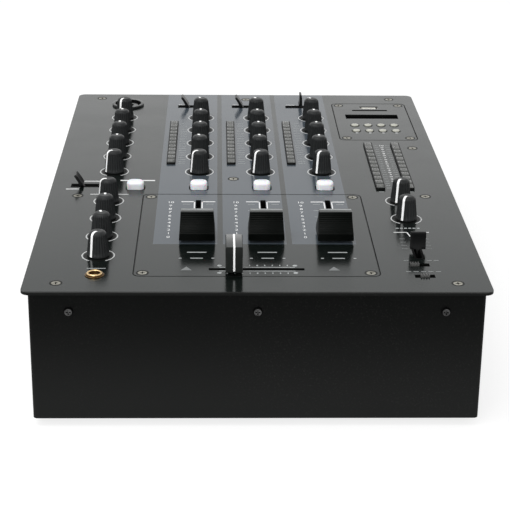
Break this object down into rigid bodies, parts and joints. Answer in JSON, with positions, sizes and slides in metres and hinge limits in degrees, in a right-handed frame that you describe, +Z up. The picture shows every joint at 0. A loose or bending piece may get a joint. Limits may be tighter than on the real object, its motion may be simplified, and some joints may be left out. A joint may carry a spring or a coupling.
{
  "type": "dj mixer",
  "caption": "Audio mixer: a flat control plate with knobs, faders, levers, level meters and an inset media player panel, on a folded steel case",
  "frame": {"origin": "on the ground, under the middle of the part's bounding box", "axes": "+Z up, +X to the user's right, +Y from the user to the back panel"},
  "size_m": [0.254, 0.3898, 0.0992],
  "materials": {
    "plate": "dark grey, semi-gloss",
    "case": "black, satin",
    "boards": "green boards with black components",
    "sockets": "black, satin",
    "windows": "unlit, smoked",
    "screws": "zinc plated",
    "feet": "black",
    "knobs": "black with a white pointer line",
    "caps": "black with a white line",
    "levers": "black",
    "buttons": "white, translucent",
    "keys": "cream",
    "rocker": "black"
  },
  "bodies": {
    "case": {"chassis": "case", "top_plate": "plate", "fader_panel": "plate", "player_panel": "plate", "meter_windows": "windows", "top_sockets": "sockets", "rear_sockets": "sockets", "circuit_boards": "boards", "screws": "screws", "feet": "feet"},
    "channel_1_level_knob": {"channel_1_level_knob": "knobs"},
    "channel_1_low_knob": {"channel_1_low_knob": "knobs"},
    "channel_1_mid_knob": {"channel_1_mid_knob": "knobs"},
    "channel_1_high_knob": {"channel_1_high_knob": "knobs"},
    "channel_1_gain_knob": {"channel_1_gain_knob": "knobs"},
    "channel_2_level_knob": {"channel_2_level_knob": "knobs"},
    "channel_2_low_knob": {"channel_2_low_knob": "knobs"},
    "channel_2_mid_knob": {"channel_2_mid_knob": "knobs"},
    "channel_2_high_knob": {"channel_2_high_knob": "knobs"},
    "channel_2_gain_knob": {"channel_2_gain_knob": "knobs"},
    "channel_3_level_knob": {"channel_3_level_knob": "knobs"},
    "channel_3_low_knob": {"channel_3_low_knob": "knobs"},
    "channel_3_mid_knob": {"channel_3_mid_knob": "knobs"},
    "channel_3_high_knob": {"channel_3_high_knob": "knobs"},
    "channel_3_gain_knob": {"channel_3_gain_knob": "knobs"},
    "mic_level_knob": {"mic_level_knob": "knobs"},
    "mic_low_knob": {"mic_low_knob": "knobs"},
    "mic_mid_knob": {"mic_mid_knob": "knobs"},
    "mic_high_knob": {"mic_high_knob": "knobs"},
    "mic_gain_knob": {"mic_gain_knob": "knobs"},
    "monitor_knob_1": {"monitor_knob_1": "knobs"},
    "monitor_knob_2": {"monitor_knob_2": "knobs"},
    "monitor_knob_3": {"monitor_knob_3": "knobs"},
    "monitor_knob_4": {"monitor_knob_4": "knobs"},
    "master_knob_1": {"master_knob_1": "knobs"},
    "master_knob_2": {"master_knob_2": "knobs"},
    "channel_fader_1": {"channel_fader_1": "caps"},
    "channel_fader_2": {"channel_fader_2": "caps"},
    "channel_fader_3": {"channel_fader_3": "caps"},
    "crossfader": {"crossfader": "caps"},
    "channel_1_lever": {"channel_1_lever": "levers"},
    "channel_2_lever": {"channel_2_lever": "levers"},
    "channel_3_lever": {"channel_3_lever": "levers"},
    "talk_lever": {"talk_lever": "levers"},
    "curve_lever": {"curve_lever": "levers"},
    "cue_button_1": {"cue_button_1": "buttons"},
    "cue_button_2": {"cue_button_2": "buttons"},
    "cue_button_3": {"cue_button_3": "buttons"},
    "cue_button_4": {"cue_button_4": "buttons"},
    "slide_switch_1": {"slide_switch_1": "levers"},
    "slide_switch_2": {"slide_switch_2": "levers"},
    "player_key_1": {"player_key_1": "keys"},
    "player_key_2": {"player_key_2": "keys"},
    "player_key_3": {"player_key_3": "keys"},
    "player_key_4": {"player_key_4": "keys"},
    "player_key_5": {"player_key_5": "keys"},
    "player_key_6": {"player_key_6": "keys"},
    "player_key_7": {"player_key_7": "keys"},
    "player_key_8": {"player_key_8": "keys"},
    "power_rocker": {"power_rocker": "rocker"}
  },
  "joints": [
    {"name": "channel_1_level_knob_turn", "type": "hinge", "parent": "case", "child": "channel_1_level_knob", "pos_m": [-0.0335, 0.00605, 0.082], "axis": [0, 0, 1], "range_deg": [-272, 28]},
    {"name": "channel_1_low_knob_turn", "type": "hinge", "parent": "case", "child": "channel_1_low_knob", "pos_m": [-0.0335, 0.03805, 0.082], "axis": [0, 0, 1], "range_deg": [-170, 130]},
    {"name": "channel_1_mid_knob_turn", "type": "hinge", "parent": "case", "child": "channel_1_mid_knob", "pos_m": [-0.0335, 0.06825, 0.082], "axis": [0, 0, 1], "range_deg": [-150, 150]},
    {"name": "channel_1_high_knob_turn", "type": "hinge", "parent": "case", "child": "channel_1_high_knob", "pos_m": [-0.0335, 0.09845, 0.082], "axis": [0, 0, 1], "range_deg": [-150, 150]},
    {"name": "channel_1_gain_knob_turn", "type": "hinge", "parent": "case", "child": "channel_1_gain_knob", "pos_m": [-0.0335, 0.12865, 0.082], "axis": [0, 0, 1], "range_deg": [-180, 120]},
    {"name": "channel_2_level_knob_turn", "type": "hinge", "parent": "case", "child": "channel_2_level_knob", "pos_m": [0.0066, 0.00605, 0.082], "axis": [0, 0, 1], "range_deg": [-283, 17]},
    {"name": "channel_2_low_knob_turn", "type": "hinge", "parent": "case", "child": "channel_2_low_knob", "pos_m": [0.0066, 0.03805, 0.082], "axis": [0, 0, 1], "range_deg": [-150, 150]},
    {"name": "channel_2_mid_knob_turn", "type": "hinge", "parent": "case", "child": "channel_2_mid_knob", "pos_m": [0.0066, 0.06825, 0.082], "axis": [0, 0, 1], "range_deg": [-150, 150]},
    {"name": "channel_2_high_knob_turn", "type": "hinge", "parent": "case", "child": "channel_2_high_knob", "pos_m": [0.0066, 0.09845, 0.082], "axis": [0, 0, 1], "range_deg": [-150, 150]},
    {"name": "channel_2_gain_knob_turn", "type": "hinge", "parent": "case", "child": "channel_2_gain_knob", "pos_m": [0.0066, 0.12865, 0.082], "axis": [0, 0, 1], "range_deg": [-175, 125]},
    {"name": "channel_3_level_knob_turn", "type": "hinge", "parent": "case", "child": "channel_3_level_knob", "pos_m": [0.0467, 0.00605, 0.082], "axis": [0, 0, 1], "range_deg": [-295, 5]},
    {"name": "channel_3_low_knob_turn", "type": "hinge", "parent": "case", "child": "channel_3_low_knob", "pos_m": [0.0467, 0.03805, 0.082], "axis": [0, 0, 1], "range_deg": [-150, 150]},
    {"name": "channel_3_mid_knob_turn", "type": "hinge", "parent": "case", "child": "channel_3_mid_knob", "pos_m": [0.0467, 0.06825, 0.082], "axis": [0, 0, 1], "range_deg": [-150, 150]},
    {"name": "channel_3_high_knob_turn", "type": "hinge", "parent": "case", "child": "channel_3_high_knob", "pos_m": [0.0467, 0.09845, 0.082], "axis": [0, 0, 1], "range_deg": [-150, 150]},
    {"name": "channel_3_gain_knob_turn", "type": "hinge", "parent": "case", "child": "channel_3_gain_knob", "pos_m": [0.0467, 0.12865, 0.082], "axis": [0, 0, 1], "range_deg": [-185, 115]},
    {"name": "mic_level_knob_turn", "type": "hinge", "parent": "case", "child": "mic_level_knob", "pos_m": [-0.089, 0.00605, 0.082], "axis": [0, 0, 1], "range_deg": [-275, 25]},
    {"name": "mic_low_knob_turn", "type": "hinge", "parent": "case", "child": "mic_low_knob", "pos_m": [-0.089, 0.03805, 0.082], "axis": [0, 0, 1], "range_deg": [-150, 150]},
    {"name": "mic_mid_knob_turn", "type": "hinge", "parent": "case", "child": "mic_mid_knob", "pos_m": [-0.089, 0.06825, 0.082], "axis": [0, 0, 1], "range_deg": [-150, 150]},
    {"name": "mic_high_knob_turn", "type": "hinge", "parent": "case", "child": "mic_high_knob", "pos_m": [-0.089, 0.09845, 0.082], "axis": [0, 0, 1], "range_deg": [-150, 150]},
    {"name": "mic_gain_knob_turn", "type": "hinge", "parent": "case", "child": "mic_gain_knob", "pos_m": [-0.089, 0.12865, 0.082], "axis": [0, 0, 1], "range_deg": [-300, 0]},
    {"name": "monitor_knob_1_turn", "type": "hinge", "parent": "case", "child": "monitor_knob_1", "pos_m": [-0.089, -0.14145, 0.082], "axis": [0, 0, 1], "range_deg": [-295, 5]},
    {"name": "monitor_knob_2_turn", "type": "hinge", "parent": "case", "child": "monitor_knob_2", "pos_m": [-0.089, -0.11125, 0.082], "axis": [0, 0, 1], "range_deg": [-165, 135]},
    {"name": "monitor_knob_3_turn", "type": "hinge", "parent": "case", "child": "monitor_knob_3", "pos_m": [-0.089, -0.08105, 0.082], "axis": [0, 0, 1], "range_deg": [-150, 150]},
    {"name": "monitor_knob_4_turn", "type": "hinge", "parent": "case", "child": "monitor_knob_4", "pos_m": [-0.089, -0.05085, 0.082], "axis": [0, 0, 1], "range_deg": [-260, 40]},
    {"name": "master_knob_1_turn", "type": "hinge", "parent": "case", "child": "master_knob_1", "pos_m": [0.0923, -0.08125, 0.082], "axis": [0, 0, 1], "range_deg": [-300, 0]},
    {"name": "master_knob_2_turn", "type": "hinge", "parent": "case", "child": "master_knob_2", "pos_m": [0.0923, -0.04975, 0.082], "axis": [0, 0, 1], "range_deg": [-300, 0]},
    {"name": "channel_fader_1_slide", "type": "slide", "parent": "case", "child": "channel_fader_1", "axis": [0, 1, 0], "range_m": [0, 0.06]},
    {"name": "channel_fader_2_slide", "type": "slide", "parent": "case", "child": "channel_fader_2", "axis": [0, 1, 0], "range_m": [0, 0.06]},
    {"name": "channel_fader_3_slide", "type": "slide", "parent": "case", "child": "channel_fader_3", "axis": [0, 1, 0], "range_m": [0, 0.06]},
    {"name": "crossfader_slide", "type": "slide", "parent": "case", "child": "crossfader", "axis": [1, 0, 0], "range_m": [-0.0099, 0.0351]},
    {"name": "channel_1_lever_tilt", "type": "hinge", "parent": "case", "child": "channel_1_lever", "pos_m": [-0.0398, 0.15775, 0.076], "axis": [0, 1, 0], "range_deg": [0, 60]},
    {"name": "channel_2_lever_tilt", "type": "hinge", "parent": "case", "child": "channel_2_lever", "pos_m": [0.0003, 0.15775, 0.076], "axis": [0, 1, 0], "range_deg": [0, 60]},
    {"name": "channel_3_lever_tilt", "type": "hinge", "parent": "case", "child": "channel_3_lever", "pos_m": [0.0404, 0.15775, 0.076], "axis": [0, 1, 0], "range_deg": [-30, 30]},
    {"name": "talk_lever_tilt", "type": "hinge", "parent": "case", "child": "talk_lever", "pos_m": [-0.1036, -0.02165, 0.076], "axis": [0, 1, 0], "range_deg": [0, 60]},
    {"name": "curve_lever_tilt", "type": "hinge", "parent": "case", "child": "curve_lever", "pos_m": [0.0925, -0.13495, 0.076], "axis": [-1, 0, 0], "range_deg": [-30, 30]},
    {"name": "cue_button_1_press", "type": "slide", "parent": "case", "child": "cue_button_1", "axis": [0, 0, 1], "range_m": [-0.0015, 0], "stiffness_N_per_m": 400, "springref_m": 0.0005},
    {"name": "cue_button_2_press", "type": "slide", "parent": "case", "child": "cue_button_2", "axis": [0, 0, 1], "range_m": [-0.0015, 0], "stiffness_N_per_m": 400, "springref_m": 0.0005},
    {"name": "cue_button_3_press", "type": "slide", "parent": "case", "child": "cue_button_3", "axis": [0, 0, 1], "range_m": [-0.0015, 0], "stiffness_N_per_m": 400, "springref_m": 0.0005},
    {"name": "cue_button_4_press", "type": "slide", "parent": "case", "child": "cue_button_4", "axis": [0, 0, 1], "range_m": [-0.0015, 0], "stiffness_N_per_m": 400, "springref_m": 0.0005},
    {"name": "slide_switch_1_slide", "type": "slide", "parent": "case", "child": "slide_switch_1", "axis": [1, 0, 0], "range_m": [0, 0.0056]},
    {"name": "slide_switch_2_slide", "type": "slide", "parent": "case", "child": "slide_switch_2", "axis": [1, 0, 0], "range_m": [-0.0028, 0.0028]},
    {"name": "player_key_1_press", "type": "slide", "parent": "case", "child": "player_key_1", "axis": [0, 0, 1], "range_m": [-0.0006, 0], "stiffness_N_per_m": 400, "springref_m": 0.0004},
    {"name": "player_key_2_press", "type": "slide", "parent": "case", "child": "player_key_2", "axis": [0, 0, 1], "range_m": [-0.0006, 0], "stiffness_N_per_m": 400, "springref_m": 0.0004},
    {"name": "player_key_3_press", "type": "slide", "parent": "case", "child": "player_key_3", "axis": [0, 0, 1], "range_m": [-0.0006, 0], "stiffness_N_per_m": 400, "springref_m": 0.0004},
    {"name": "player_key_4_press", "type": "slide", "parent": "case", "child": "player_key_4", "axis": [0, 0, 1], "range_m": [-0.0006, 0], "stiffness_N_per_m": 400, "springref_m": 0.0004},
    {"name": "player_key_5_press", "type": "slide", "parent": "case", "child": "player_key_5", "axis": [0, 0, 1], "range_m": [-0.0006, 0], "stiffness_N_per_m": 400, "springref_m": 0.0004},
    {"name": "player_key_6_press", "type": "slide", "parent": "case", "child": "player_key_6", "axis": [0, 0, 1], "range_m": [-0.0006, 0], "stiffness_N_per_m": 400, "springref_m": 0.0004},
    {"name": "player_key_7_press", "type": "slide", "parent": "case", "child": "player_key_7", "axis": [0, 0, 1], "range_m": [-0.0006, 0], "stiffness_N_per_m": 400, "springref_m": 0.0004},
    {"name": "player_key_8_press", "type": "slide", "parent": "case", "child": "player_key_8", "axis": [0, 0, 1], "range_m": [-0.0006, 0], "stiffness_N_per_m": 400, "springref_m": 0.0004},
    {"name": "power_rocker_tilt", "type": "hinge", "parent": "case", "child": "power_rocker", "pos_m": [0.084, 0.18445, 0.025], "axis": [1, 0, 0], "range_deg": [-16, 0]}
  ]
}
